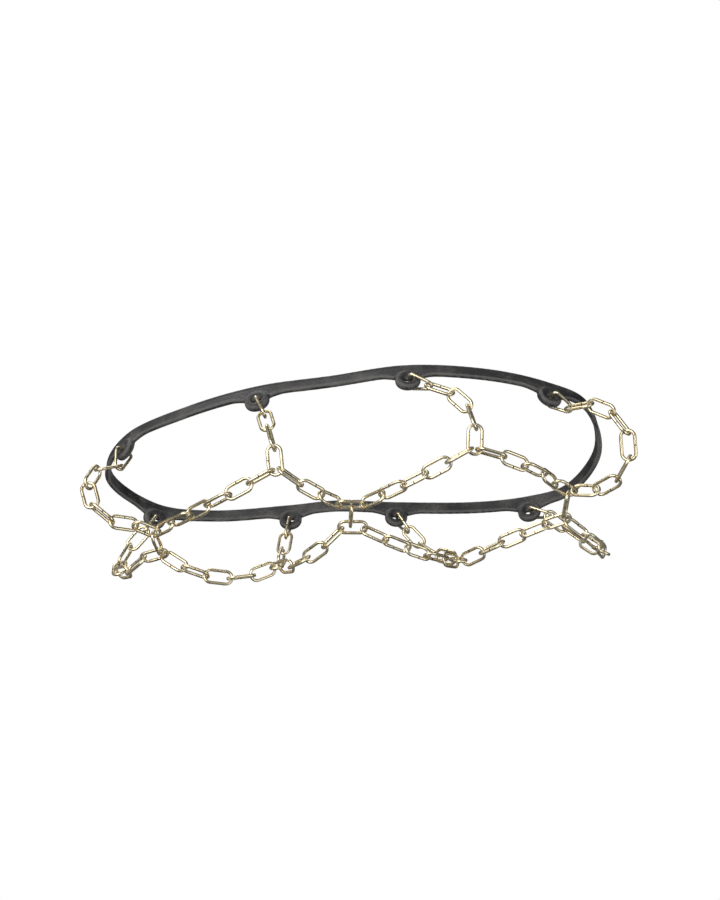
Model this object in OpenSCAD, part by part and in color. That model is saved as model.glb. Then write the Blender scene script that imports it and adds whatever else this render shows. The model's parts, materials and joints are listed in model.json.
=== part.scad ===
// Shoe ice cleats: a stretchy rubber harness with eight eyelets, eight wire
// rings, and a net of bent wire chain links that lies under the sole.
// Worn shape: +X heel to toe, -Y outer side of the foot, +Z up, sole at z = 0.

/* [Chain links] */
// Wire diameter of links and rings, mm
wire_d = 2.0; // [1.8:0.1:2.1]
// Inside length of a link, mm
link_len = 15.3; // [15.2:0.1:15.5]
// Inside width of a link, mm
link_w = 6.0; // [5.9:0.1:6.2]
// Play between wires that hook together, mm
play = 0.6; // [0.5:0.05:0.65]
// Angle at which two links leave the same link end, degrees
fork = 66; // [64:1:68]
// Angle at which a strand leaves an end of the link under the arch, degrees
arch_bend = 35; // [30:1:40]

/* [Eyelet rings] */
// Half length of the leg that passes through the eyelet, mm
ring_half = 5.5; // [5.4:0.1:6.0]
// Distance from that leg to the centre of the rounded tip, mm
ring_len = 11; // [11:0.5:11.5]
// Bend radius of the tip, mm
ring_tip = 3.0; // [3.0:0.1:3.2]
// Extra room for the chain in the tip, mm
ring_slack = 1.0; // [0.9:0.1:1.2]

/* [Harness] */
// Height of the rubber band, mm
band_h = 9; // [8:0.5:10]
// Thickness of the rubber band, mm
band_t = 3.2; // [2.8:0.1:3.4]
// How far the band spreads down at each eyelet, mm
flare = 4.2; // [3:0.2:4.6]
// Distance from the band's middle down to an eyelet's middle, mm
drop = 9; // [8.5:0.5:9.5]
// Middle radius of the raised eyelet rim, mm
rim_mid = 5.2; // [5.0:0.1:5.4]
// Thickness of the rim, mm
rim_t = 5.2; // [4.8:0.1:5.4]
// Hole radius of the eyelet, mm
hole_r = 2.75; // [2.7:0.05:2.9]

/* [Hidden] */
$fn = 48;
pitch = link_len - play;
bend_r = (link_w + wire_d) / 2;
straight = link_len - link_w;
hook_r = bend_r - (wire_d + play) / 2;
seat = hole_r - wire_d / 2 - play;
ring_reach = seat + ring_len + ring_tip - (wire_d + play) / 2 - ring_slack;
metal = [0.80, 0.74, 0.55];
rubber = [0.06, 0.06, 0.065];
up = [0, 0, 1];

// ---- small vector helpers ----
function unit(v) = v / norm(v);
function square_to(v, n) = unit(v - (v * n) * n);
function spin(p, u, v) = let (w = cross(u, v)) [
    [u.x, v.x, w.x, p.x],
    [u.y, v.y, w.y, p.y],
    [u.z, v.z, w.z, p.z],
    [0, 0, 0, 1]
];

// ---- a run of equal links hung as an even arc between two points ----
// crook is 1 for a round arc; a smaller one turns more in the middle, as over an edge.
function lean(k, n, crook) = let (x = 1 - 2 * k / (n - 1)) sign(x) * pow(abs(x), crook);
function sum_to(list, k) = k == 0 ? list[0] * 0 : list[k - 1] + sum_to(list, k - 1);
function span(n, t, crook) = sum_to([for (k = [0:n - 1]) cos(t * lean(k, n, crook))], n);
function turn_of(n, reach, crook, lo, hi, left) =
    left == 0 ? (lo + hi) / 2 :
    let (mid = (lo + hi) / 2)
    span(n, mid, crook) > reach ?
        turn_of(n, reach, crook, mid, hi, left - 1) :
        turn_of(n, reach, crook, lo, mid, left - 1);

// A link is [middle, long axis, sideways axis]. from and to are [point, the
// sideways axis that the nearest link should have].
function run(from, to, n, bulge, crook = 1) =
    let (
        a = from[0],
        b = to[0],
        e = unit(b - a),
        f = square_to(bulge, e),
        m = cross(e, f),
        t = turn_of(n, norm(b - a) / pitch, crook, 0.001, 150, 36),
        dirs = [for (k = [0:n - 1]) let (q = t * lean(k, n, crook)) cos(q) * e + sin(q) * f],
        roll_a = atan2(from[1] * cross(m, dirs[0]), from[1] * m),
        roll_b = atan2(to[1] * cross(m, dirs[n - 1]), to[1] * m),
        turns = round((90 * (n + 1) - (roll_b - roll_a)) / 180),
        step = (roll_b - roll_a + 180 * turns) / (n + 1)
    )
    [for (k = [0:n - 1]) let (r = roll_a - 90 + (k + 1) * step) [
        a + pitch * (sum_to(dirs, k) + dirs[k] / 2),
        dirs[k],
        cos(r) * m + sin(r) * cross(m, dirs[k])
    ]];

// Where other links hook on a link: at either end, straight or forked.
function face(l) = cross(l[1], l[2]);
function tail(l, way) = [l[0] + way * pitch / 2 * l[1], face(l)];
function forked(l, way, side, angle = fork) = [
    l[0] + way * straight / 2 * l[1]
        + hook_r * (way * cos(angle) * l[1] + side * sin(angle) * l[2]),
    face(l)
];
function at(p, along, across) = [p, unit(along), square_to(across, unit(along))];

// ---- harness line: a closed smooth curve through its eyelet points ----
line = [
    [-159, 17, 62],
    [-140, -16, 61],
    [-98, -37, 60],
    [-53, -50, 60],
    [-8, -54, 61],
    [39, -59, 61],
    [86, -56, 57],
    [124, -46, 53],
    [149, -31, 50],
    [160, 6, 49],
    [146, 41, 50],
    [120, 55, 53],
    [82, 62, 57],
    [30, 62, 61],
    [-10, 58, 62],
    [-43, 60, 62],
    [-94, 59, 60],
    [-134, 50, 61]
];
// Which line points carry eyelets: heel, rear, front and toe of each side
eye_at = [[1, 3, 5, 7], [17, 15, 13, 11]];
function pick(i) = line[(i + 2 * len(line)) % len(line)];
function knot(i, t) =
    let (p0 = pick(i - 1), p1 = pick(i), p2 = pick(i + 1), p3 = pick(i + 2))
    0.5 * (2 * p1 + (p2 - p0) * t + (2 * p0 - 5 * p1 + 4 * p2 - p3) * t * t
        + (3 * p1 - p0 - 3 * p2 + p3) * t * t * t);
function heading(i, t) = unit(knot(i, t + 0.01) - knot(i, t - 0.01));
function outward(i, t) = unit(cross(up, heading(i, t))) * -1;
function rise(i, t) = cross(heading(i, t), outward(i, t)) * -1;

// An eyelet is [middle, outward axis, upward axis].
function eye(side, which) =
    let (i = eye_at[side][which], h = (pick(i + 1) - pick(i - 1)) / norm(pick(i + 1) - pick(i - 1)))
    let (n = -unit(cross(up, h)), r = -cross(h, n))
    [pick(i) - drop * r, n, r];

// ---- layout of the chain net, outer side (0) and inner side (1) ----
hands = ["outer", "inner"];
stops = ["heel", "rear", "front", "toe"];
function way(side) = side == 0 ? -1 : 1;
heel_tie = at([-120, 15.5, 0], [0.12, 1, 0], up);
arch_tie = at([0, 0, 0], [-0.1, 1, 0], up);
toe_tie = at([130.5, 4, 2], [-0.12, 0.9, -0.3], [0.5, 0.3, 1]);

// The link whose forward end holds a tie: it lies so that the tie's end sits in its fork.
function holder(hook, along, across) =
    let (u = unit(along), v = square_to(across, u))
    [hook - straight / 2 * u - hook_r * (cos(fork) * u + sin(fork) * v), u, v];

heel_along = [[0.78, 0.62, 0], [0.95, -0.31, 0]];
toe_along = [[0.75, 0.62, 0], [0.9, -0.4, 0]];
function heel_end(s) = holder(tail(heel_tie, way(s))[0], heel_along[s], [0, -way(s), 0]);
function toe_end(s) = holder(tail(toe_tie, way(s))[0], toe_along[s], [0, -way(s), 0.1]);

ring_dir = [
    [[-0.2, 0.15, -0.95], [0.35, 0, -0.9], [0.9, 0, -0.45], [0.85, 0.35, -0.5]],
    [[-0.3, -0.2, -0.9], [-0.2, 0, -0.95], [0.5, 0, -0.85], [0.8, -0.3, -0.5]]
];
// A ring is [eyelet middle, pull axis, eyelet axis].
function ring(side, which) =
    let (e = eye(side, which))
    [e[0], square_to(ring_dir[side][which], e[1]), e[1]];
function ring_tail(r) = [r[0] + ring_reach * r[1], cross(r[1], r[2])];

rear_end = [
    at([-41.5, -44.4, 5], [-0.05, -0.65, 0.75], [1, -0.05, -0.1]),
    at([-49.5, 51, 6.5], [0.05, 0.6, 0.8], [1, -0.1, 0.05])
];
front_end = [
    at([74, -48, 9], [0.1, -0.6, 0.8], [1, 0.1, 0]),
    at([66.5, 54, 5], [-0.2, 0.65, 0.7], [1, 0, 0])
];
arch_link = [
    at([0.5, -10.2, -1], [0.98, 0.1, 0], [0, 0.95, 0.3]),
    at([0.5, 10.2, -1], [0.98, 0.1, 0], [0, 0.95, -0.3])
];

heel_rear_links = [6, 5];
rear_arch_links = [3, 4];

function heel_run(s) = concat([heel_end(s)],
    run(tail(heel_end(s), -1), ring_tail(ring(s, 0)), 5, [-0.65, 0.35 * way(s), -0.7]));
function rear_run(s) = run(tail(rear_end[s], 1), ring_tail(ring(s, 1)), 2, [0, way(s), 0]);
function front_run(s) = run(
    tail(front_end[s], 1), ring_tail(ring(s, 2)), 3, s == 0 ? [1, 0, 0.8] : [-0.3, 1, 0]);
function toe_run(s) = run(
    forked(toe_end(s), 1, -1), ring_tail(ring(s, 3)), 7, [1, way(s), -0.2], 0.9);
function heel_rear(s) = run(
    forked(heel_end(s), 1, -1), forked(rear_end[s], -1, -1), heel_rear_links[s],
    [0, s == 0 ? -0.6 : 0.1, -0.8]);
function rear_arch(s) = run(
    forked(rear_end[s], -1, 1), forked(arch_link[s], -1, way(s), arch_bend), rear_arch_links[s],
    [0, -0.3, -0.9]);
function arch_front(s) = run(
    forked(arch_link[s], 1, way(s), arch_bend), forked(front_end[s], -1, -1), 5, [0, -0.6, -0.8]);
function front_toe(s) = concat(
    run(forked(front_end[s], -1, 1), tail(toe_end(s), -1), 4, [0, -0.9, -0.5]), [toe_end(s)]);

// ---- pieces ----
module wire_bend(r, sweep, d = wire_d) {
    rotate_extrude(angle = sweep)
        translate([r, 0])
            circle(d = d);
}

// One bent wire link, long axis on X, sideways on Y.
module link() {
    for (s = [-1, 1]) {
        translate([-straight / 2, s * bend_r, 0])
            rotate([0, 90, 0])
                cylinder(h = straight, d = wire_d);
        translate([s * straight / 2, 0, 0])
            rotate([0, 0, s > 0 ? -90 : 90])
                wire_bend(bend_r, 180);
    }
}

module links(list) {
    color(metal)
        for (l = list)
            multmatrix(spin(l[0], l[1], l[2]))
                link();
}

// The three-sided ring of an eyelet: pull axis on X, eyelet axis on Y.
module eyelet_ring(r) {
    corner = 2;
    lap = 0.1;
    bent_d = wire_d + 0.02;
    gap_x = ring_len - corner;
    gap_y = ring_half - corner;
    lean = atan2(-gap_y, gap_x) + acos((corner - ring_tip) / norm([gap_x, gap_y]));
    leg = norm([gap_x + (ring_tip - corner) * cos(lean), (ring_tip - corner) * sin(lean) - gap_y]);
    color(metal)
        multmatrix(spin(r[0] + seat * r[1], r[1], r[2])) {
            translate([0, -gap_y - lap, 0])
                rotate([-90, 0, 0])
                    cylinder(h = 2 * (gap_y + lap), d = wire_d);
            translate([ring_len, 0, 0])
                rotate([0, 0, -lean])
                    wire_bend(ring_tip, 2 * lean, bent_d);
            for (s = [0, 1])
                mirror([0, s, 0])
                    translate([corner, gap_y, 0]) {
                        rotate([0, 0, lean])
                            wire_bend(corner, 180 - lean, bent_d);
                        translate([corner * cos(lean), corner * sin(lean), 0])
                            rotate([0, 0, lean - 90])
                                rotate([0, 90, 0])
                                    translate([0, 0, -lap])
                                        cylinder(h = leg + 2 * lap, d = wire_d);
                    }
        }
}

// Band section seen along the band: outward on X, upward on Y.
function band_ring(low) = let (h = band_h / 2, t = band_t / 2, c = 1) [
    [t, h - c], [t - c, h], [c - t, h], [-t, h - c],
    [-t, c - h - low], [c - t, -h - low], [t - c, -h - low], [t, c - h - low]
];
parts_per_knot = 4;
stations = [for (i = [0:len(line) - 1]) for (k = [0:parts_per_knot - 1]) [i, (k + 0.5) / parts_per_knot]];
function near_eye(p) = min([for (s = [0, 1]) for (w = [0:3]) norm(p - pick(eye_at[s][w]))]);
function swell(p) = let (q = near_eye(p)) q > 18 ? 0 : flare * pow(cos(q * 5), 2);

module band() {
    sides = len(band_ring(0));
    n = len(stations);
    points = [for (st = stations)
        let (p = knot(st[0], st[1]), o = outward(st[0], st[1]), r = rise(st[0], st[1]))
        for (q = band_ring(swell(p))) p + q[0] * o + q[1] * r];
    faces = [for (i = [0:n - 1]) for (j = [0:sides - 1])
        let (a = i * sides + j, b = i * sides + (j + 1) % sides,
             c = ((i + 1) % n) * sides + (j + 1) % sides, d = ((i + 1) % n) * sides + j)
        for (f = [[a, b, c], [a, c, d]]) f];
    polyhedron(points, faces, convexity = 8);
}

module harness() {
    color(rubber)
        difference() {
            union() {
                band();
                for (s = [0, 1])
                    for (w = [0:3])
                        let (e = eye(s, w))
                            multmatrix(spin(e[0], e[2], cross(e[1], e[2])))
                                rotate([0, 0, 200])
                                    rotate_extrude()
                                        translate([rim_mid, 0])
                                            circle(d = rim_t);
            }
            for (s = [0, 1])
                for (w = [0:3])
                    let (e = eye(s, w))
                        multmatrix(spin(e[0], e[2], cross(e[1], e[2])))
                            rotate([0, 0, 155])
                                translate([0, 0, -12])
                                    cylinder(h = 24, r = hole_r);
        }
}

// ---- nodes ----
function one_side(h) = concat(
    [for (w = stops) str("ring_", w, "_", h)],
    [for (k = [1:6]) str("heel_link_", h, "_", k)],
    [str("rear_links_", h), str("rear_fork_link_", h)],
    [for (k = [1:3]) str("front_link_", h, "_", k)],
    [str("front_fork_link_", h)],
    [for (k = [1:7]) str("toe_link_", h, "_", k)],
    [for (w = ["heel_to_rear", "rear_to_arch", "arch_to_front", "front_to_toe"]) str("sole_", w, "_", h)],
    [str("arch_link_", h)]
);

harness();  // rubber_harness
links([heel_tie]);  // heel_tie_link
links([arch_tie]);  // arch_tie_link
links([toe_tie]);  // toe_tie_link
for (s = [0, 1]) {
    h = hands[s];
    for (w = [0:3])
        eyelet_ring(ring(s, w));
    for (k = [1:6])
        links([heel_run(s)[k - 1]]);
    links(rear_run(s));
    links([rear_end[s]]);
    for (k = [1:3])
        links([front_run(s)[k - 1]]);
    links([front_end[s]]);
    for (k = [1:7])
        links([toe_run(s)[k - 1]]);
    links(heel_rear(s));
    links(rear_arch(s));
    links(arch_front(s));
    links(front_toe(s));
    links([arch_link[s]]);
}
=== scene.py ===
"""Looks of shoe ice cleats: a moulded rubber harness, eight eyelet rings and a net of bent wire links.

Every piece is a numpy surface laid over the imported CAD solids. Lengths in the classes are millimetres; meshes are
written in metres.
"""

import json
import logging
import math
from dataclasses import dataclass, field
from enum import Enum

import bpy
import numpy as np
from mathutils import Matrix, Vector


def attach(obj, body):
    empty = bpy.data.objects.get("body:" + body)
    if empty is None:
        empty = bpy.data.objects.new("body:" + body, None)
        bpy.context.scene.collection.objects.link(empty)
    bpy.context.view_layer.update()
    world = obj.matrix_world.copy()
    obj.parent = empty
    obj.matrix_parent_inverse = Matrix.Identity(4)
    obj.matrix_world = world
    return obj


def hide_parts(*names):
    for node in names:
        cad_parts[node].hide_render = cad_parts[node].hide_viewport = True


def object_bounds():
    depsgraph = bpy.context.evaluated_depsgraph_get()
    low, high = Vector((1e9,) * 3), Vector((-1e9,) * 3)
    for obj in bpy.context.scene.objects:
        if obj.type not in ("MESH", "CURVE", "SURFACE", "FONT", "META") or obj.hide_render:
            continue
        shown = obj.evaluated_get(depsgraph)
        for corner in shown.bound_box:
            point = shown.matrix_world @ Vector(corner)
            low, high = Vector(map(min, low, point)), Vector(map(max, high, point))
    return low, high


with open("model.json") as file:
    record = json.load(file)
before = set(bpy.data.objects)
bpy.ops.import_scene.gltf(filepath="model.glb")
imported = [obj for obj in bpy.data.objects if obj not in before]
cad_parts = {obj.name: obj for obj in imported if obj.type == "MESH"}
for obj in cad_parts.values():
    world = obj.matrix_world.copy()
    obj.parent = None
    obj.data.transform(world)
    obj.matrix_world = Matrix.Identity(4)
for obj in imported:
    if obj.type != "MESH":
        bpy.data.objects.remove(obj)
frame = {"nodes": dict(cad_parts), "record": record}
CAD_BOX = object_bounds()

logging.basicConfig(level=logging.INFO, format="%(message)s")
log = logging.getLogger("ice_cleats")

MM = 0.001
Array = np.ndarray
Socket = bpy.types.NodeSocket


# ------------------------------------------------------------------ names


class Slot(Enum):
    """The record's material slots."""

    RUBBER = "black_rubber"
    WIRE = "zinc_wire"


class Place(Enum):
    """Where a ring's eyelet sits on the harness."""

    HEEL = "heel"
    REAR = "rear"
    FRONT = "front"
    TOE = "toe"


# ------------------------------------------------------------------ small geometry


def unit(v: Array) -> Array:
    """Vectors scaled to length one along the last axis."""
    return v / np.linalg.norm(v, axis=-1, keepdims=True)


def smooth(edge0: float, edge1: float, x: Array) -> Array:
    """Soft step from 0 at edge0 to 1 at edge1: t * t * (3 - 2 t) of the clamped ratio t."""
    t = np.clip((x - edge0) / (edge1 - edge0), 0.0, 1.0)
    return t * t * (3.0 - 2.0 * t)


@dataclass(frozen=True)
class Straight:
    """A straight stretch of a flat wire path, from one point to another."""

    start: tuple[float, float]
    end: tuple[float, float]

    def length(self) -> float:
        """Distance from start to end."""
        return math.dist(self.start, self.end)

    def at(self, d: Array) -> tuple[Array, Array, Array]:
        """Points, tangents and bend strength (none) at distances d."""
        a, b = np.array(self.start), np.array(self.end)
        t = (b - a) / self.length()
        return a + d[:, None] * t, np.tile(t, (len(d), 1)), np.zeros(len(d))


@dataclass(frozen=True)
class Bend:
    """A clockwise circular stretch of a flat wire path."""

    centre: tuple[float, float]
    radius: float
    start: float
    sweep: float

    def length(self) -> float:
        """Radius times the angle swept, in radians."""
        return self.radius * math.radians(self.sweep)

    def at(self, d: Array) -> tuple[Array, Array, Array]:
        """Points on the circle, tangents square to the radius, and a bend strength that rises and falls as a sine."""
        a = math.radians(self.start) - d / self.radius
        out = np.stack([np.cos(a), np.sin(a)], 1)
        tangent = np.stack([np.sin(a), -np.cos(a)], 1)
        strength = np.sin(np.pi * np.clip(d / self.length(), 0, 1)) ** 0.5
        return np.array(self.centre) + self.radius * out, tangent, strength


@dataclass(frozen=True)
class WirePath:
    """A closed flat path of straights and bends, run clockwise, with the butt seam at distance zero."""

    pieces: tuple[Straight | Bend, ...]

    def total(self) -> float:
        """Length of the whole path."""
        return sum(p.length() for p in self.pieces)

    def at(self, s: Array) -> tuple[Array, Array, Array]:
        """Points, tangents and bend strength at distances s along the path.

        Args:
            s: rising distances from 0 to the path's length.

        Returns:
            Points (n, 2), unit tangents (n, 2) and bend strength (n).
        """
        points, tangents, bends = np.zeros((len(s), 2)), np.zeros((len(s), 2)), np.zeros(len(s))
        begin = 0.0
        for piece in self.pieces:
            inside = (s >= begin - 1e-9) & (s <= begin + piece.length() + 1e-9)
            points[inside], tangents[inside], bends[inside] = piece.at(s[inside] - begin)
            begin += piece.length()
        return points, tangents, bends

    def stations(self, coarse: float, fine: float) -> Array:
        """Distances to sample: even steps of about coarse on straights and fine on bends, crowded at the seam.

        Args:
            coarse: step on straights, mm.
            fine: step on bends, mm.

        Returns:
            Rising distances from just after the seam back round to just before it.
        """
        total, begin, marks = self.total(), 0.0, [np.array([0.0])]
        for piece in self.pieces:
            step = fine if isinstance(piece, Bend) else coarse
            n = max(2, round(piece.length() / step))
            marks.append(begin + np.linspace(0, piece.length(), n, endpoint=False))
            begin += piece.length()
        near_seam = np.array([0.05, 0.1, 0.16, 0.26, 0.45, 0.8])
        s = np.unique(np.round(np.concatenate([*marks, near_seam, total - near_seam]), 4))
        return s[s < total - 1e-3]


def closed_grid(rows: int, cols: int, first: int = 0) -> Array:
    """Quads of a grid that closes on itself both ways: (i, j), (i+1, j), (i+1, j+1), (i, j+1), counted modulo.

    Args:
        rows: stations along the sweep.
        cols: points round the section.
        first: index of the grid's first vertex.

    Returns:
        Faces (rows * cols, 4).
    """
    i, j = np.meshgrid(np.arange(rows), np.arange(cols), indexing="ij")
    k, m = (i + 1) % rows, (j + 1) % cols
    return np.stack([i * cols + j, k * cols + j, k * cols + m, i * cols + m], -1).reshape(-1, 4) + first


@dataclass
class Surface:
    """Vertices, quads, a UV map and named vertex values that make one piece."""

    points: list[Array] = field(default_factory=list)
    faces: list[Array] = field(default_factory=list)
    uvs: list[Array] = field(default_factory=list)
    values: dict[str, list[Array]] = field(default_factory=dict)
    count: int = 0

    def add(self, points: Array, faces: Array, uv: Array, values: dict[str, Array]) -> None:
        """Adds one closed shell.

        Args:
            points: vertices (n, 3), mm.
            faces: quads counted from this shell's first vertex.
            uv: UV of each face corner (faces, 4, 2).
            values: one number a vertex for each name.
        """
        self.points.append(points)
        self.faces.append(faces + self.count)
        self.uvs.append(uv.reshape(-1, 2))
        for name, value in values.items():
            self.values.setdefault(name, []).append(value)
        self.count += len(points)

    def build(self, name: str) -> bpy.types.Object:
        """Writes the shells into a mesh object in metres, smooth shaded."""
        points, faces = np.concatenate(self.points) * MM, np.concatenate(self.faces)
        mesh = bpy.data.meshes.new(name)
        mesh.vertices.add(len(points))
        mesh.vertices.foreach_set("co", points.astype(np.float32).ravel())
        mesh.loops.add(faces.size)
        mesh.loops.foreach_set("vertex_index", faces.astype(np.int32).ravel())
        mesh.polygons.add(len(faces))
        mesh.polygons.foreach_set("loop_start", np.arange(0, faces.size, 4, dtype=np.int32))
        mesh.polygons.foreach_set("use_smooth", np.ones(len(faces), bool))
        uv = mesh.uv_layers.new(name="wire_uv")
        uv.data.foreach_set("uv", np.concatenate(self.uvs).astype(np.float32).ravel())
        for key, parts in self.values.items():
            attribute = mesh.attributes.new(key, "FLOAT", "POINT")
            attribute.data.foreach_set("value", np.concatenate(parts).astype(np.float32))
        mesh.update(calc_edges=True)
        obj = bpy.data.objects.new(name, mesh)
        bpy.context.scene.collection.objects.link(obj)
        return obj


@dataclass(frozen=True)
class BentWire:
    """Round wire bent round a closed path and butted end to end."""

    diameter: float = 2.0
    around: int = 16
    coarse: float = 1.5
    fine: float = 0.62
    seam_depth: float = 0.5
    seam_reach: float = 0.11
    # width of the dark band painted along the seam: painted shade in the butt joint's gap, with some grime
    seam_shade_width: float = 0.42
    seam_fade: float = 1.5
    flatten: float = 0.045

    def shell(self, path: WirePath, place: Array, rng: np.random.Generator, out: Surface) -> None:
        """Sweeps the wire round a path and adds it to a surface.

        A point is path(s) + r (cos a N + sin a B): N points out of the loop and B is square to its plane. r falls
        to (1 - seam_depth) in a narrow bell at the seam. In a bend the wire is pressed a little flat: r shrinks
        along N and grows along B. The two ends miss each other by a small step that fades with exp(-s / seam_fade).

        Args:
            path: the closed centre line.
            place: 3 by 4 matrix, columns: path X, path Y, path normal, position, mm.
            rng: this piece's random numbers.
            out: the surface that takes the shell.
        """
        s = path.stations(self.coarse, self.fine)
        total = path.total()
        flat, tangent, bend = path.at(s)
        outward = np.stack([-tangent[:, 1], tangent[:, 0]], 1)
        a = np.linspace(0, 2 * np.pi, self.around, endpoint=False)
        signed = np.where(s > total / 2, s - total, s)
        groove = np.exp(-((signed / self.seam_reach) ** 2))
        ends = np.exp(-np.abs(signed) / self.seam_fade) * np.sign(signed)
        r = self.diameter / 2 * (1 - self.seam_depth * groove)
        step_n, step_b = rng.normal(0, 0.045), rng.normal(0, 0.07)
        n = r[:, None] * (1 - self.flatten * bend)[:, None] * np.cos(a) + (step_n * ends)[:, None]
        b = r[:, None] * (1 + 0.5 * self.flatten * bend)[:, None] * np.sin(a) + (step_b * ends)[:, None]
        x = flat[:, 0, None] + n * outward[:, 0, None]
        y = flat[:, 1, None] + n * outward[:, 1, None]
        local = np.stack([x, y, b], -1).reshape(-1, 3)
        points = local @ place[:, :3].T + place[:, 3]
        faces = closed_grid(len(s), self.around)[:, ::-1]
        rub = bend[:, None] ** 2 * smooth(0.1, 1.0, -np.cos(a))[None]
        shoulder = bend[:, None] * smooth(0.4, 1.0, np.abs(np.sin(a)))[None] * 0.5
        values = {
            "rub": np.maximum(rub, shoulder).ravel(),
            # seam: 1 at the butt seam; the finish paints a near-black band with it, painted shade in the joint's gap
            # with some grime
            "seam": np.repeat(np.exp(-((signed / self.seam_shade_width) ** 2)), self.around),
            "heat": np.full(len(points), rng.random()),
        }
        out.add(points, faces, self.wire_uv(s, total, faces, rng), values)

    def wire_uv(self, s: Array, total: float, faces: Array, rng: np.random.Generator) -> Array:
        """UV in millimetres along and round the wire, unwrapped at both joins and shifted by chance for each shell."""
        rows = faces // self.around
        cols = faces % self.around
        u, v = s[rows], cols.astype(float)
        u = np.where((rows == 0) & (rows.max(1, keepdims=True) == len(s) - 1), total, u)
        v = np.where((cols == 0) & (cols.max(1, keepdims=True) == self.around - 1), self.around, v)
        return np.stack([u + 100 * rng.random(), v / self.around * math.pi * self.diameter], -1)


# ------------------------------------------------------------------ shader helpers


@dataclass
class Tree:
    """Short calls for adding and joining nodes in a node tree."""

    tree: bpy.types.NodeTree

    def node(self, kind: str, inputs: dict[str | int, object] | None = None, **settings: object) -> bpy.types.Node:
        """Adds a node.

        Args:
            kind: the node's type name.
            inputs: socket name or number to a value or to another node's socket.
            **settings: attributes of the node.

        Returns:
            The new node.
        """
        made = self.tree.nodes.new(kind)
        for key, value in settings.items():
            setattr(made, key, value)
        for key, value in (inputs or {}).items():
            if isinstance(value, bpy.types.NodeSocket):
                self.tree.links.new(value, made.inputs[key])
            else:
                made.inputs[key].default_value = value
        return made

    def math(self, operation: str, a: object, b: object = 0.0, clamp: bool = False) -> Socket:
        """One arithmetic step."""
        return self.node("ShaderNodeMath", {0: a, 1: b}, operation=operation, use_clamp=clamp).outputs[0]

    def noise(self, vector: Socket, scale: float, detail: float = 4.0, roughness: float = 0.55) -> Socket:
        """Fractal noise, about 0 to 1."""
        made = self.node(
            "ShaderNodeTexNoise", {"Vector": vector, "Scale": scale, "Detail": detail, "Roughness": roughness}
        )
        return made.outputs["Fac"]

    def ramp(self, value: Socket, low: float, high: float, to_low: float = 0.0, to_high: float = 1.0) -> Socket:
        """Value mapped from low..high to to_low..to_high with a soft step, clamped."""
        made = self.node(
            "ShaderNodeMapRange",
            {"Value": value, "From Min": low, "From Max": high, "To Min": to_low, "To Max": to_high},
            interpolation_type="SMOOTHSTEP",
        )
        return made.outputs["Result"]

    def mix(self, factor: object, a: object, b: object) -> Socket:
        """Colour a to colour b."""
        made = self.node("ShaderNodeMix", data_type="RGBA", blend_type="MIX")
        for socket, value in ((made.inputs[0], factor), (made.inputs[6], a), (made.inputs[7], b)):
            if isinstance(value, bpy.types.NodeSocket):
                self.tree.links.new(value, socket)
            else:
                socket.default_value = value
        return made.outputs[2]

    def attribute(self, name: str) -> Socket:
        """A named value stored on the mesh's vertices."""
        return self.node("ShaderNodeAttribute", attribute_name=name).outputs["Fac"]

    def scaled(self, vector: Socket, scale: tuple[float, float, float]) -> Socket:
        """A vector with each axis scaled."""
        return self.node("ShaderNodeMapping", {"Vector": vector, "Scale": scale}).outputs[0]


def group_tree(name: str, inputs: dict[str, tuple[str, float]], outputs: dict[str, str]) -> Tree:
    """Starts a shader node group with named sockets.

    Args:
        name: the group's name.
        inputs: socket name to its kind and default.
        outputs: socket name to its kind.

    Returns:
        The group's empty tree.
    """
    tree = bpy.data.node_groups.new(name, "ShaderNodeTree")
    for key, (kind, default) in inputs.items():
        made = tree.interface.new_socket(name=key, in_out="INPUT", socket_type=kind)
        if kind == "NodeSocketFloat":
            made.default_value = default
    for key, kind in outputs.items():
        tree.interface.new_socket(name=key, in_out="OUTPUT", socket_type=kind)
    return Tree(tree)


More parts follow.
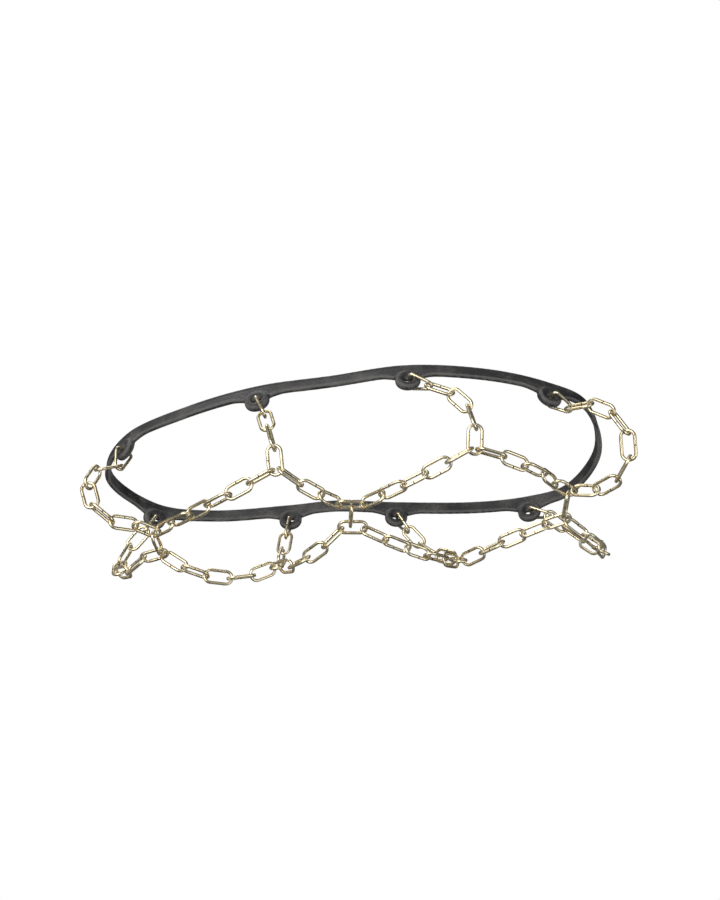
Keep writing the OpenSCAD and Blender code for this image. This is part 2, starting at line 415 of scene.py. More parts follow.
class SurfaceEffects:
    """Effects that the rubber and the wire share, each built once as a node group."""

    def __init__(self) -> None:
        """Builds the three groups."""
        self.dust = self.make_dust()
        self.scratches = self.make_scratches()
        self.mottle = self.make_mottle()

    def make_dust(self) -> bpy.types.NodeTree:
        """Fine dust: a mask that is broad noise times fine speckle, gathered where Shelter is high."""
        t = group_tree(
            "fine_dust",
            {
                "Vector": ("NodeSocketVector", 0),
                "Size": ("NodeSocketFloat", 220.0),
                "Amount": ("NodeSocketFloat", 0.4),
                "Shelter": ("NodeSocketFloat", 0.0),
            },
            {"Mask": "NodeSocketFloat"},
        )
        source = t.node("NodeGroupInput")
        broad = t.node("ShaderNodeTexNoise", {"Vector": source.outputs["Vector"], "Scale": source.outputs["Size"]})
        fine_size = t.math("MULTIPLY", source.outputs["Size"], 14.0)
        speck = t.node("ShaderNodeTexNoise", {"Vector": source.outputs["Vector"], "Scale": fine_size, "Detail": 2.0})
        patch = t.ramp(broad.outputs["Fac"], 0.42, 0.72)
        grain = t.ramp(speck.outputs["Fac"], 0.35, 0.7, 0.25, 1.0)
        base = t.math("ADD", patch, source.outputs["Shelter"], clamp=True)
        mask = t.math("MULTIPLY", t.math("MULTIPLY", base, grain), source.outputs["Amount"], clamp=True)
        t.node("NodeGroupOutput", {"Mask": mask})
        return t.tree

    def make_scratches(self) -> bpy.types.NodeTree:
        """Fine scratches: thin bright lines where a stretched noise crosses its middle value, broken into patches."""
        t = group_tree(
            "fine_scratches",
            {
                "Vector": ("NodeSocketVector", 0),
                "Size": ("NodeSocketFloat", 100.0),
                "Width": ("NodeSocketFloat", 0.02),
                "Amount": ("NodeSocketFloat", 1.0),
            },
            {"Mask": "NodeSocketFloat", "Height": "NodeSocketFloat"},
        )
        source = t.node("NodeGroupInput")
        lines = t.node(
            "ShaderNodeTexNoise", {"Vector": source.outputs["Vector"], "Scale": source.outputs["Size"], "Detail": 5.0}
        )
        off = t.math("ABSOLUTE", t.math("SUBTRACT", lines.outputs["Fac"], 0.5))
        near = t.math("DIVIDE", off, source.outputs["Width"])
        thin = t.ramp(near, 0.0, 1.0, 1.0, 0.0)
        patch_size = t.math("MULTIPLY", source.outputs["Size"], 0.23)
        patches = t.node("ShaderNodeTexNoise", {"Vector": source.outputs["Vector"], "Scale": patch_size})
        where = t.ramp(patches.outputs["Fac"], 0.45, 0.62)
        mask = t.math("MULTIPLY", t.math("MULTIPLY", thin, where), source.outputs["Amount"], clamp=True)
        t.node("NodeGroupOutput", {"Mask": mask, "Height": t.math("MULTIPLY", mask, -1.0)})
        return t.tree

    def make_mottle(self) -> bpy.types.NodeTree:
        """Uneven tone: two noises of different size averaged, then spread about the middle by Contrast."""
        t = group_tree(
            "uneven_tone",
            {
                "Vector": ("NodeSocketVector", 0),
                "Size": ("NodeSocketFloat", 80.0),
                "Contrast": ("NodeSocketFloat", 1.0),
                "Shift": ("NodeSocketFloat", 0.0),
            },
            {"Tone": "NodeSocketFloat"},
        )
        source = t.node("NodeGroupInput")
        shift = t.node("ShaderNodeCombineXYZ", {0: source.outputs["Shift"], 1: source.outputs["Shift"]})
        moved = t.node(
            "ShaderNodeVectorMath", {0: source.outputs["Vector"], 1: shift.outputs[0]}, operation="ADD"
        ).outputs[0]
        low = t.node("ShaderNodeTexNoise", {"Vector": moved, "Scale": source.outputs["Size"], "Detail": 3.0})
        high_size = t.math("MULTIPLY", source.outputs["Size"], 5.3)
        high = t.node("ShaderNodeTexNoise", {"Vector": moved, "Scale": high_size, "Detail": 4.0})
        both = t.math(
            "ADD", t.math("MULTIPLY", low.outputs["Fac"], 0.65), t.math("MULTIPLY", high.outputs["Fac"], 0.35)
        )
        spread = t.math("MULTIPLY", t.math("SUBTRACT", both, 0.5), source.outputs["Contrast"])
        t.node("NodeGroupOutput", {"Tone": t.math("ADD", spread, 0.5, clamp=True)})
        return t.tree


def place_group(t: Tree, group: bpy.types.NodeTree, inputs: dict[str, object]) -> bpy.types.Node:
    """Places a shared effect in a material with its own values."""
    made = t.tree.nodes.new("ShaderNodeGroup")
    made.node_tree = group
    for key, value in inputs.items():
        if isinstance(value, bpy.types.NodeSocket):
            t.tree.links.new(value, made.inputs[key])
        else:
            made.inputs[key].default_value = value
    return made


def new_material(name: str) -> tuple[bpy.types.Material, Tree, bpy.types.Node]:
    """An empty material with a Principled shader joined to its output."""
    material = bpy.data.materials.new(name)
    material.use_nodes = True
    material.node_tree.nodes.clear()
    t = Tree(material.node_tree)
    shader = t.node("ShaderNodeBsdfPrincipled")
    t.node("ShaderNodeOutputMaterial", {"Surface": shader.outputs[0]})
    return material, t, shader


Colour = tuple[float, float, float, float]


@dataclass(frozen=True)
class YellowZincFinish:
    """Drawn steel wire with thin yellow passivated zinc: pale gold, rubbed to white metal where links bear."""

    straw: Colour = (0.88, 0.74, 0.44, 1)
    pale: Colour = (0.94, 0.86, 0.64, 1)
    rose: Colour = (0.88, 0.70, 0.46, 1)
    bare: Colour = (0.88, 0.87, 0.83, 1)
    # near-black brown of the seam band: painted shade in the butt joint's gap, with some grime
    seam_shade_and_grime: Colour = (0.055, 0.045, 0.03, 1)
    dust: Colour = (0.38, 0.33, 0.22, 1)

    def build(self, effects: SurfaceEffects) -> bpy.types.Material:
        """Makes the material.

        Args:
            effects: the shared node groups.

        Returns:
            A metal whose colour, roughness and bump follow the wire's own UV map and vertex values.
        """
        material, t, shader = new_material("yellow_zinc_wire")
        uv = t.node("ShaderNodeUVMap", uv_map="wire_uv").outputs[0]
        place = t.node("ShaderNodeTexCoord").outputs["Object"]
        heat, rub, seam = t.attribute("heat"), t.attribute("rub"), t.attribute("seam")
        tone = place_group(
            t, effects.mottle, {"Vector": place, "Size": 95.0, "Contrast": 2.6, "Shift": heat}
        ).outputs["Tone"]
        colour = t.mix(tone, self.straw, self.pale)
        blush = t.ramp(t.noise(t.scaled(place, (70, 70, 70)), 1.7, 2.0), 0.52, 0.7, 0.0, 0.45)
        colour = t.mix(blush, colour, self.rose)
        worn = t.ramp(t.math("ADD", rub, t.math("MULTIPLY", t.math("SUBTRACT", tone, 0.5), 0.6)), 0.35, 0.85, 0, 0.75)
        colour = t.mix(worn, colour, self.bare)
        lines = place_group(
            t, effects.scratches, {"Vector": t.scaled(uv, (0.25, 3.0, 1.0)), "Size": 1.1, "Width": 0.03, "Amount": 0.25}
        )
        colour = t.mix(lines.outputs["Mask"], colour, self.bare)
        # seam painted near black: painted shade in the joint's gap with some grime; the grime part also makes it
        # rougher
        shade = t.ramp(seam, 0.3, 0.85, 0.0, 0.94)
        colour = t.mix(shade, colour, self.seam_shade_and_grime)
        dust = place_group(t, effects.dust, {"Vector": place, "Size": 160.0, "Amount": 0.12, "Shelter": rub})
        colour = t.mix(dust.outputs["Mask"], colour, self.dust)
        drawn = t.noise(t.scaled(uv, (0.12, 5.0, 1.0)), 2.0, 3.0)
        rough = t.ramp(tone, 0.2, 0.8, 0.20, 0.32)
        rough = t.math("ADD", rough, t.math("MULTIPLY", drawn, 0.08))
        rough = t.math("ADD", rough, t.math("MULTIPLY", dust.outputs["Mask"], 0.4), clamp=True)
        rough = t.math("ADD", rough, t.math("MULTIPLY", shade, 0.4), clamp=True)
        pits = t.ramp(t.noise(t.scaled(place, (1400, 1400, 1400)), 1.0, 3.0), 0.3, 0.7)
        dents = t.noise(t.scaled(place, (330, 330, 330)), 1.0, 2.0)
        height = t.math("ADD", t.math("MULTIPLY", drawn, 0.35), t.math("MULTIPLY", pits, 0.06))
        height = t.math("ADD", height, t.math("MULTIPLY", dents, 0.5))
        height = t.math("ADD", height, t.math("MULTIPLY", lines.outputs["Height"], 0.25))
        bump = t.node("ShaderNodeBump", {"Height": height, "Strength": 0.3, "Distance": 0.0001})
        for key, value in (("Base Color", colour), ("Roughness", rough), ("Normal", bump.outputs[0])):
            t.tree.links.new(value, shader.inputs[key])
        shader.inputs["Metallic"].default_value = 1.0
        return material


@dataclass(frozen=True)
class HarnessRubberFinish:
    """Moulded black elastomer: satin, finely grained, chalky where it has been stretched and rubbed."""

    deep: Colour = (0.0085, 0.0085, 0.0095, 1)
    lifted: Colour = (0.022, 0.022, 0.024, 1)
    scuffed: Colour = (0.085, 0.083, 0.08, 1)
    dust: Colour = (0.17, 0.16, 0.145, 1)

    def build(self, effects: SurfaceEffects) -> bpy.types.Material:
        """Makes the material.

        Args:
            effects: the shared node groups.

        Returns:
            A rubber with mould grain, a parting line, flow marks, scuffs and dust.
        """
        material, t, shader = new_material("moulded_black_rubber")
        place = t.node("ShaderNodeTexCoord").outputs["Object"]
        edge, parting, hollow = t.attribute("edge"), t.attribute("parting"), t.attribute("hollow")
        tone = place_group(t, effects.mottle, {"Vector": place, "Size": 38.0, "Contrast": 2.2}).outputs["Tone"]
        colour = t.mix(tone, self.deep, self.lifted)
        ragged = t.math("MULTIPLY", t.math("SUBTRACT", t.noise(t.scaled(place, (420, 420, 420)), 1.0), 0.5), 0.9)
        worn = t.ramp(t.math("ADD", edge, ragged), 0.35, 0.95, 0.0, 0.7)
        colour = t.mix(worn, colour, self.scuffed)
        stretched = t.scaled(place, (1.0, 1.0, 2.2))
        lines = place_group(
            t, effects.scratches, {"Vector": stretched, "Size": 130.0, "Width": 0.018, "Amount": 0.5}
        )
        colour = t.mix(lines.outputs["Mask"], colour, self.scuffed)
        dust = place_group(t, effects.dust, {"Vector": place, "Size": 75.0, "Amount": 0.32, "Shelter": hollow})
        colour = t.mix(dust.outputs["Mask"], colour, self.dust)
        rough = t.ramp(tone, 0.2, 0.8, 0.42, 0.58)
        rough = t.math("ADD", rough, t.math("MULTIPLY", worn, 0.16))
        rough = t.math("ADD", rough, t.math("MULTIPLY", dust.outputs["Mask"], 0.35), clamp=True)
        grain = t.noise(t.scaled(place, (2600, 2600, 2600)), 1.0, 3.0, 0.6)
        orange = t.noise(t.scaled(place, (620, 620, 620)), 1.0, 2.0)
        height = t.math("ADD", t.math("MULTIPLY", grain, 0.4), t.math("MULTIPLY", orange, 0.9))
        height = t.math("ADD", height, t.math("MULTIPLY", parting, 1.6))
        height = t.math("ADD", height, t.math("MULTIPLY", lines.outputs["Height"], 0.6))
        bump = t.node("ShaderNodeBump", {"Height": height, "Strength": 0.6, "Distance": 0.00022})
        for key, value in (("Base Color", colour), ("Roughness", rough), ("Normal", bump.outputs[0])):
            t.tree.links.new(value, shader.inputs[key])
        shader.inputs["Metallic"].default_value = 0.0
        shader.inputs["Specular IOR Level"].default_value = 0.45
        return material


# ------------------------------------------------------------------ CAD frames


def cad_shells(node: str) -> list[tuple[Array, Array]]:
    """Splits a CAD node's loose triangles into its separate solids.

    Args:
        node: the CAD node's name.

    Returns:
        For each solid, its welded vertices (n, 3) in mm and its triangles (m, 3).
    """
    mesh = frame["nodes"][node].data
    co = np.zeros(len(mesh.vertices) * 3, np.float32)
    mesh.vertices.foreach_get("co", co)
    mesh.calc_loop_triangles()
    tri = np.zeros(len(mesh.loop_triangles) * 3, np.int32)
    mesh.loop_triangles.foreach_get("vertices", tri)
    keys, where = np.unique(np.round(co.reshape(-1, 3) / MM, 3), axis=0, return_inverse=True)
    tri = where.ravel()[tri].reshape(-1, 3)
    label = np.arange(len(keys))
    while True:
        low = label[tri].min(1)
        new = label.copy()
        for c in range(3):
            np.minimum.at(new, tri[:, c], low)
        new = new[new]
        if (new == label).all():
            break
        label = new
    used = np.unique(tri)
    return [(keys, tri[label[tri[:, 0]] == k]) for k in np.unique(label[used])]


def solid_axes(points: Array, tri: Array) -> tuple[Array, Array]:
    """Middle and main axes of a closed shell, from the area-weighted spread of its triangles' centres.

    Args:
        points: vertices, mm.
        tri: the shell's triangles.

    Returns:
        The middle (3) and a 3 by 3 matrix of columns: longest axis, second axis, and their cross product.
    """
    a, b, c = points[tri[:, 0]], points[tri[:, 1]], points[tri[:, 2]]
    area = np.linalg.norm(np.cross(b - a, c - a), axis=1)
    centre = (a + b + c) / 3
    middle = (centre * area[:, None]).sum(0) / area.sum()
    off = centre - middle
    _, axes = np.linalg.eigh((off * area[:, None]).T @ off)
    long, wide = axes[:, 2], axes[:, 1]
    return middle, np.stack([long, wide, np.cross(long, wide)], 1)


def body_of_node(node: str) -> str:
    """Name of the body that carries a CAD node."""
    bodies = frame["record"]["behaviour"]["bodies"]
    return next(body for body, nodes in bodies.items() if node in nodes)


def joint_of_body(body: str) -> dict:
    """The joint whose child is a body."""
    return next(j for j in frame["record"]["behaviour"]["joints"] if j["child"] == body)


# ------------------------------------------------------------------ the chain net


@dataclass
class ChainLinks:
    """Oval links of bent wire, each butted in the middle of one leg."""

    inside_length: float = 15.3
    inside_width: float = 6.0
    wire: BentWire = field(default_factory=BentWire)
    seed: int = 11

    def path(self, rng: np.random.Generator) -> WirePath:
        """The link's centre line: two straight legs and two half circles, the seam a little off the leg's middle."""
        r = (self.inside_width + self.wire.diameter) / 2
        h = (self.inside_length - self.inside_width) / 2
        m = float(rng.uniform(-0.6, 0.6))
        return WirePath(
            (
                Straight((m, r), (h, r)),
                Bend((h, 0), r, 90, 180),
                Straight((h, -r), (-h, -r)),
                Bend((-h, 0), r, -90, 180),
                Straight((-h, r), (m, r)),
            )
        )

    def node_piece(self, node: str, material: bpy.types.Material, index: int) -> bpy.types.Object:
        """Builds the links of one CAD node as one piece.

        Args:
            node: the CAD node that the piece stands for.
            material: the wire's finish.
            index: this piece's number, for its random numbers.

        Returns:
            The dressed piece, riding on the node's body.
        """
        surface = Surface()
        for k, (points, tri) in enumerate(cad_shells(node)):
            rng = np.random.default_rng([self.seed, index, k])
            middle, axes = solid_axes(points, tri)
            flip = np.diag([1.0, *([rng.choice([-1.0, 1.0])] * 2)])
            place = np.concatenate([axes @ flip, middle[:, None]], 1)
            self.wire.shell(self.path(rng), place, rng, surface)
        return dress(surface.build(f"wire_{node}"), node, material)


@dataclass
class EyeletRings:
    """Three-sided rings of bent wire, each threaded through a harness eyelet."""

    half_base: float = 5.5
    reach: float = 11.0
    tip: float = 3.0
    corner: float = 2.0
    seat: float = 1.15
    wire: BentWire = field(default_factory=lambda: BentWire(fine=0.5))
    seed: int = 29

    def path(self) -> WirePath:
        """The ring's centre line: a base, two equal sides tangent to a round tip and two round corners."""
        gap = np.array([self.reach - self.corner, self.half_base - self.corner])
        lean = math.atan2(-gap[1], gap[0]) + math.acos((self.corner - self.tip) / float(np.linalg.norm(gap)))
        out = np.array([math.cos(lean), math.sin(lean)])
        top = np.array([self.corner, gap[1]]) + self.corner * out
        apex = np.array([self.reach, 0.0]) + self.tip * out
        mid = (top + apex) / 2
        turn = math.degrees(lean)
        flip = np.array([1.0, -1.0])
        return WirePath(
            (
                Straight(tuple(mid), tuple(apex)),
                Bend((self.reach, 0), self.tip, turn, 2 * turn),
                Straight(tuple(apex * flip), tuple(top * flip)),
                Bend((self.corner, -gap[1]), self.corner, -turn, 180 - turn),
                Straight((0, -gap[1]), (0, gap[1])),
                Bend((self.corner, gap[1]), self.corner, 180, 180 - turn),
                Straight(tuple(top), tuple(mid)),
            )
        )

    def node_piece(self, node: str, material: bpy.types.Material, index: int) -> bpy.types.Object:
        """Builds the ring of one CAD node: its pull axis is the joint's axis, its plane the solid's flattest one."""
        rng = np.random.default_rng([self.seed, index])
        joint = joint_of_body(body_of_node(node))
        pull = unit(np.array(joint["axis"], float))
        points, tri = cad_shells(node)[0]
        _, axes = solid_axes(points, tri)
        across = unit(np.cross(axes[:, 2], pull))
        place = np.stack([pull, across, np.cross(pull, across), np.array(joint["pos_m"]) / MM + self.seat * pull], 1)
        surface = Surface()
        self.wire.shell(self.path(), place, rng, surface)
        return dress(surface.build(f"wire_{node}"), node, material)


def dress(obj: bpy.types.Object, node: str, material: bpy.types.Material) -> bpy.types.Object:
    """Gives a piece its finish and its body, and hides the CAD node that it stands for."""
    obj.data.materials.clear()
    obj.data.materials.append(material)
    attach(obj, body_of_node(node))
    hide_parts(node)
    return obj


# ------------------------------------------------------------------ the harness


def default_line() -> Array:
    """Round points of the harness's closed line, from the heel forward along the outer side and back."""
    return np.array(
        [
            (-159, 17, 62), (-140, -16, 61), (-98, -37, 60), (-53, -50, 60), (-8, -54, 61), (39, -59, 61),
            (86, -56, 57), (124, -46, 53), (149, -31, 50), (160, 6, 49), (146, 41, 50), (120, 55, 53),
            (82, 62, 57), (30, 62, 61), (-10, 58, 62), (-43, 60, 62), (-94, 59, 60), (-134, 50, 61),
        ],
        float,
    )


@dataclass
class RubberHarness:
    """A flat moulded band round the boot with eight thick-rimmed eyelets hanging from its lower edge."""

    line: Array = field(default_factory=default_line)
    eyes: tuple[int, ...] = (1, 3, 5, 7, 11, 13, 15, 17)
    band_height: float = 9.0
    band_thickness: float = 3.2
    bead: float = 0.32
    flare: float = 4.2
    flare_reach: float = 18.0
    drop: float = 9.0
    rim_middle: float = 5.2
    rim_thickness: float = 5.2
    per_knot: int = 22
    section: int = 40
    grain: float = 0.5

    def knots(self, t: Array) -> Array:
        """Points of the closed curve at parameters t in knots: the Catmull-Rom cubic of neighbours p0..p3."""
        n = len(self.line)
        i = np.floor(t).astype(int)
        f = (t - i)[:, None]
        p0, p1, p2, p3 = (self.line[(i + k) % n] for k in (-1, 0, 1, 2))
        return 0.5 * (
            2 * p1 + (p2 - p0) * f + (2 * p0 - 5 * p1 + 4 * p2 - p3) * f**2 + (3 * p1 - p0 - 3 * p2 + p3) * f**3
        )

    def stations(self) -> tuple[Array, Array, Array, Array]:
        """Points, tangents, outward and upward axes along the line."""
        t = np.arange(0, len(self.line), 1 / self.per_knot)
        p = self.knots(t)
        along = unit(self.knots(t + 0.01) - self.knots(t - 0.01))
        outward = -unit(np.cross(np.array([0.0, 0, 1]), along))
        return p, along, outward, -np.cross(along, outward)

    def eyelets(self) -> list[tuple[Array, Array, Array]]:
        """Middle, outward axis and upward axis of each eyelet, hung below its knot."""
        n, found = len(self.line), []
        for i in self.eyes:
            h = unit(self.line[(i + 1) % n] - self.line[(i - 1) % n])
            out = -unit(np.cross(np.array([0.0, 0, 1]), h))
            rise = -np.cross(h, out)
            found.append((self.line[i] - self.drop * rise, out, rise))
        return found

    def band(self) -> tuple[Array, Array]:
        """The band: a rounded oblong with a bead along each edge, carried along the line.

        The section is x = t |cos a|^0.3, y = h |sin a|^0.3 with their signs. The outer and inner faces sink by the
        bead's height away from the edges. The lower edge drops by flare * cos(quarter turn * q / flare_reach)^2 at a
        distance q from an eyelet.

        Returns:
            Vertices (n, 3), mm, and quads.
        """
        p, _, outward, rise = self.stations()
        a = np.linspace(0, 2 * np.pi, self.section, endpoint=False) + 0.01
        x = np.sign(np.cos(a)) * np.abs(np.cos(a)) ** 0.3 * self.band_thickness / 2
        y = np.sign(np.sin(a)) * np.abs(np.sin(a)) ** 0.3 * self.band_height / 2
        near = np.min([np.linalg.norm(p - self.line[i], axis=1) for i in self.eyes], axis=0)
        low = self.flare * np.cos(np.pi / 2 * np.clip(near / self.flare_reach, 0, 1)) ** 2
        half = self.band_height / 2
        yy = np.where(y[None] < 0, y[None] * (1 + low[:, None] / half), y[None])
        depth = np.minimum(half - yy, yy + half + low[:, None])
        sunk = self.bead * smooth(0.9, 1.7, depth)
        xx = x[None] - np.sign(x)[None] * sunk
        points = p[:, None] + xx[..., None] * outward[:, None] + yy[..., None] * rise[:, None]
        return points.reshape(-1, 3), closed_grid(len(p), self.section)

    def rim(self, eye: tuple[Array, Array, Array]) -> tuple[Array, Array]:
        """One eyelet's rim: a ring of radius rim_middle with a slightly squared section, lightly flattened outside."""
        middle, out, rise = eye
        side = np.cross(out, rise)
        u = np.linspace(0, 2 * np.pi, 64, endpoint=False)
        v = np.linspace(0, 2 * np.pi, 28, endpoint=False)
        half = self.rim_thickness / 2
        radial = np.sign(np.cos(v)) * np.abs(np.cos(v)) ** 0.85 * half * 0.97
        axial = np.sign(np.sin(v)) * np.abs(np.sin(v)) ** 0.75 * half * 0.99
        ring = np.cos(u)[:, None] * rise + np.sin(u)[:, None] * side
        points = (
            middle
            + (self.rim_middle + radial)[None, :, None] * ring[:, None]
            + axial[None, :, None] * out
        )
        return points.reshape(-1, 3), closed_grid(len(u), len(v))

    def skin(self) -> bpy.types.Mesh:
        """Joins band and rims into one moulded skin: a fine voxel skin over all of them, then relaxed into fillets."""
        points, faces, count = [], [], 0
        for pts, quads in [self.band(), *(self.rim(e) for e in self.eyelets())]:
            volume = np.einsum("ij,ij->i", pts[quads[:, 0]], np.cross(pts[quads[:, 1]], pts[quads[:, 2]])).sum()
            points.append(pts)
            faces.append((quads if volume > 0 else quads[:, ::-1]) + count)
            count += len(pts)
        mesh = bpy.data.meshes.new("harness_rough")
        mesh.from_pydata((np.concatenate(points) * MM).tolist(), [], np.concatenate(faces).tolist())
        rough = bpy.data.objects.new("harness_rough", mesh)
        bpy.context.scene.collection.objects.link(rough)
        voxels = rough.modifiers.new("skin", "REMESH")
        voxels.mode, voxels.voxel_size, voxels.use_smooth_shade = "VOXEL", self.grain * MM, True
        relax = rough.modifiers.new("relax", "SMOOTH")
        relax.factor, relax.iterations = 0.5, 4
        made = bpy.data.meshes.new_from_object(rough.evaluated_get(bpy.context.evaluated_depsgraph_get()))
        bpy.data.objects.remove(rough)
        bpy.data.meshes.remove(mesh)
        made.name = "rubber_harness_skin"
        return made

    def bulge(self, mesh: bpy.types.Mesh) -> Array:
        """How far each vertex stands out of its neighbours' average along its normal, mm, relaxed once."""
        n = len(mesh.vertices)
        co, normal = np.zeros(n * 3, np.float32), np.zeros(n * 3, np.float32)
        mesh.vertices.foreach_get("co", co)
        mesh.vertices.foreach_get("normal", normal)
        edges = np.zeros(len(mesh.edges) * 2, np.int32)
        mesh.edges.foreach_get("vertices", edges)
        co, normal, edges = co.reshape(-1, 3) / MM, normal.reshape(-1, 3), edges.reshape(-1, 2)
        count = np.bincount(edges.ravel(), minlength=n)[:, None]

        def average(values: Array) -> Array:
            """Mean of each vertex's neighbours."""
            total = np.zeros_like(values)
            np.add.at(total, edges[:, 0], values[edges[:, 1]])
            np.add.at(total, edges[:, 1], values[edges[:, 0]])
            return total / np.maximum(count, 1)

        out = ((co - average(co)) * normal).sum(1, keepdims=True)
        for _ in range(3):
            out = 0.5 * out + 0.5 * average(out)
        return out.ravel()

    def marks(self, mesh: bpy.types.Mesh) -> dict[str, Array]:
        """Vertex values for the rubber's finish.

        Args:
            mesh: the finished skin.

        Returns:
            edge, 1 on convex edges; hollow, 1 in inner corners; parting, 1 on the mould's parting line.
        """
        co = np.zeros(len(mesh.vertices) * 3, np.float32)
        mesh.vertices.foreach_get("co", co)
        co = co.reshape(-1, 3) / MM
        p, _, outward, rise = self.stations()
        nearest = np.concatenate(
            [((c[:, None] - p[None]) ** 2).sum(-1).argmin(1) for c in np.array_split(co, max(1, len(co) // 4000))]
        )
        off = co - p[nearest]
        x, y = (off * outward[nearest]).sum(1), (off * rise[nearest]).sum(1)
        bulge = self.bulge(mesh)
        edge = smooth(0.004, 0.03, bulge)
        parting = np.exp(-((x / 0.28) ** 2)) * smooth(0.35, 1.0, edge + (np.abs(y) > 4.2))
        return {"edge": edge, "hollow": smooth(0.004, 0.03, -bulge), "parting": parting}

    def build(self, material: bpy.types.Material) -> bpy.types.Object:
        """Builds and dresses the harness, riding on the root body."""
        mesh = self.skin()
        for key, values in self.marks(mesh).items():
            mesh.attributes.new(key, "FLOAT", "POINT").data.foreach_set("value", values.astype(np.float32))
        obj = bpy.data.objects.new("moulded_harness", mesh)
        bpy.context.scene.collection.objects.link(obj)
        return dress(obj, "rubber_harness", material)


# ------------------------------------------------------------------ studio


def standing(right: Array, up: Array, back: Array, where: Array) -> Matrix:
    """Matrix that stands a camera or lamp at a point, looking against back."""
    matrix = np.eye(4)
    matrix[:3] = np.stack([right, up, back, where], 1)
    return Matrix(matrix.tolist())


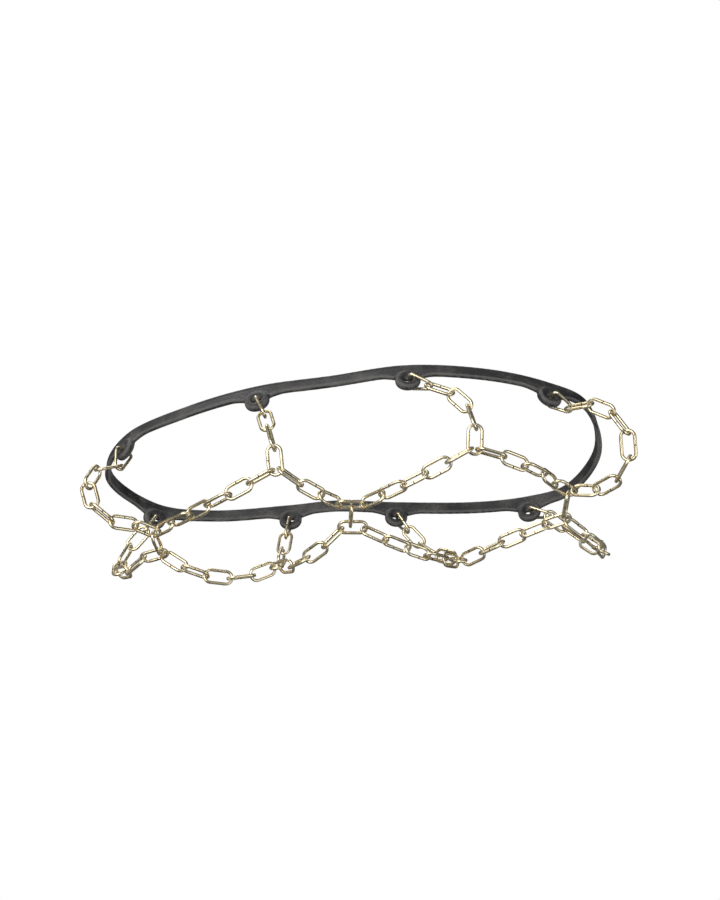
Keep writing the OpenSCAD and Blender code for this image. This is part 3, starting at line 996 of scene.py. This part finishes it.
@dataclass
class Studio:
    """Pale floor, soft lights, a pale surround and the camera below the outer side of the sole."""

    below: float = 0.3
    lens: float = 38.65
    distance: float = 582.0
    turn: float = 0.2
    tilt: float = -46.3
    roll: float = -3.1
    shift: tuple[float, float] = (-5.4, -39.0)
    middle: Array = field(default_factory=lambda: np.array([0.0, 0.0, 25.0]))
    dim: float = 0.06
    wall: float = 0.30
    sky: float = 0.75

    def view_axes(self) -> tuple[Array, Array, Array]:
        """Back, right and up axes of the camera from its turn, tilt and roll in degrees."""
        a, e, r = np.radians([self.turn, self.tilt, self.roll])
        back = np.array([math.sin(a) * math.cos(e), -math.cos(a) * math.cos(e), math.sin(e)])
        right = np.array([math.cos(a), math.sin(a), 0.0])
        up = np.cross(back, right)
        return back, math.cos(r) * right + math.sin(r) * up, math.cos(r) * up - math.sin(r) * right

    def camera(self) -> bpy.types.Object:
        """Places the camera and makes it the scene's own."""
        back, right, up = self.view_axes()
        where = self.distance * back - self.shift[0] * right - self.shift[1] * up
        data = bpy.data.cameras.new("studio_camera")
        data.sensor_width = 36.0
        data.lens = self.lens
        data.clip_start, data.clip_end = 0.01, 20.0
        obj = bpy.data.objects.new("studio_camera", data)
        obj.matrix_world = standing(right, up, back, where * MM)
        bpy.context.scene.collection.objects.link(obj)
        bpy.context.scene.camera = obj
        return obj

    def panel(self, name: str, toward: Array, away: float, size: float, glow: float, tint: Colour) -> None:
        """A square softbox that faces the object's middle.

        Args:
            name: the lamp's name.
            toward: direction of the softbox from the object.
            away: its distance, m.
            size: its side, m.
            glow: brightness of its face; its power is glow * pi * size squared.
            tint: its colour.
        """
        data = bpy.data.lights.new(name, "AREA")
        data.shape, data.size, data.energy, data.color = "SQUARE", size, glow * math.pi * size**2, tint[:3]
        obj = bpy.data.objects.new(name, data)
        back = unit(toward)
        right = unit(np.cross(np.array([0.0, 1.0, 0.05]), back))
        obj.matrix_world = standing(right, np.cross(back, right), back, away * back + self.middle * MM)
        bpy.context.scene.collection.objects.link(obj)

    def floor(self) -> bpy.types.Object:
        """A large pale plate just below the chain, seen only from above, that fades out from 0.5 m to 1.6 m away."""
        half, z = 3.0, CAD_BOX[0][2] - self.below * MM
        mesh = bpy.data.meshes.new("studio_floor")
        mesh.from_pydata([(-half, -half, z), (half, -half, z), (half, half, z), (-half, half, z)], [], [(0, 1, 2, 3)])
        obj = bpy.data.objects.new("studio_floor", mesh)
        bpy.context.scene.collection.objects.link(obj)
        material, t, shader = new_material("pale_floor")
        place = t.node("ShaderNodeTexCoord").outputs["Object"]
        tone = t.ramp(t.noise(place, 5.0), 0.3, 0.7, 0.84, 0.87)
        colour = t.node("ShaderNodeCombineColor", {0: tone, 1: tone, 2: tone}).outputs[0]
        t.tree.links.new(colour, shader.inputs["Base Color"])
        shader.inputs["Roughness"].default_value = 0.75
        clear = t.node("ShaderNodeBsdfTransparent")
        below = t.node("ShaderNodeNewGeometry").outputs["Backfacing"]
        path = t.node("ShaderNodeLightPath")
        unseen = t.math("MAXIMUM", path.outputs["Is Shadow Ray"], path.outputs["Is Glossy Ray"])
        hidden = t.math("MAXIMUM", below, unseen)
        away = t.node("ShaderNodeVectorMath", {0: place}, operation="LENGTH").outputs["Value"]
        hidden = t.math("MAXIMUM", hidden, t.ramp(away, 0.5, 1.6))
        both = t.node("ShaderNodeMixShader", {0: hidden, 1: shader.outputs[0], 2: clear.outputs[0]})
        output = next(n for n in t.tree.nodes if n.type == "OUTPUT_MATERIAL")
        t.tree.links.new(both.outputs[0], output.inputs["Surface"])
        mesh.materials.append(material)
        return obj

    def surround(self) -> None:
        """White to the eye, a bright even sky to matt surfaces, and a dim room with a few grey walls to gloss."""
        world = bpy.data.worlds.new("studio_surround")
        world.use_nodes = True
        world.node_tree.nodes.clear()
        t = Tree(world.node_tree)
        axes = t.node("ShaderNodeSeparateXYZ", {0: t.node("ShaderNodeTexCoord").outputs["Generated"]})
        bands = t.math("SINE", t.math("ADD", t.math("MULTIPLY", axes.outputs[0], 6.0), axes.outputs[1]))
        walls = t.ramp(bands, 0.1, 0.9, self.dim, self.wall)
        room = t.node("ShaderNodeCombineColor", {0: walls, 1: walls, 2: walls}).outputs[0]
        path = t.node("ShaderNodeLightPath")
        colour = t.mix(path.outputs["Is Diffuse Ray"], room, (self.sky, self.sky, self.sky, 1))
        colour = t.mix(path.outputs["Is Camera Ray"], colour, (1, 1, 1, 1))
        background = t.node("ShaderNodeBackground", {"Color": colour, "Strength": 1.0})
        t.node("ShaderNodeOutputWorld", {"Surface": background.outputs[0]})
        bpy.context.scene.world = world

    def build(self) -> None:
        """Sets up the camera, floor, surround and softboxes."""
        self.camera()
        self.floor()
        self.surround()
        back, right, up = self.view_axes()
        warm, white, cool = (1.0, 0.98, 0.94, 1), (1.0, 1.0, 1.0, 1), (0.95, 0.98, 1.0, 1)
        self.panel("key_softbox", back - 0.55 * right + 0.5 * up, 1.0, 0.85, 4.0, warm)
        self.panel("side_softbox", back + 1.1 * right - 0.2 * up, 1.1, 0.7, 2.2, cool)
        self.panel("top_softbox", np.array([-0.3, -0.35, 1.0]), 1.1, 0.7, 2.6, white)
        self.panel("rear_softbox", np.array([0.5, 0.9, 0.55]), 1.1, 0.5, 1.8, cool)
        scene = bpy.context.scene
        scene.view_settings.view_transform = "Standard"
        scene.view_settings.look = "None"


# ------------------------------------------------------------------ assembly


def main() -> None:
    """Builds the harness, rings, links and studio in order."""
    effects = SurfaceEffects()
    wire = YellowZincFinish().build(effects)
    rubber = HarnessRubberFinish().build(effects)
    harness = RubberHarness().build(rubber)
    log.info("%s: %d faces", harness.name, len(harness.data.polygons))
    rings, links = EyeletRings(), ChainLinks()
    ring_names = {f"ring_{place.value}_{side}" for place in Place for side in ("outer", "inner")}
    for index, node in enumerate(sorted(frame["nodes"])):
        if node == "rubber_harness":
            continue
        maker = rings if node in ring_names else links
        piece = maker.node_piece(node, wire, index)
        log.info("%s: %d faces", piece.name, len(piece.data.polygons))
    Studio().build()


if __name__ == "__main__":
    main()
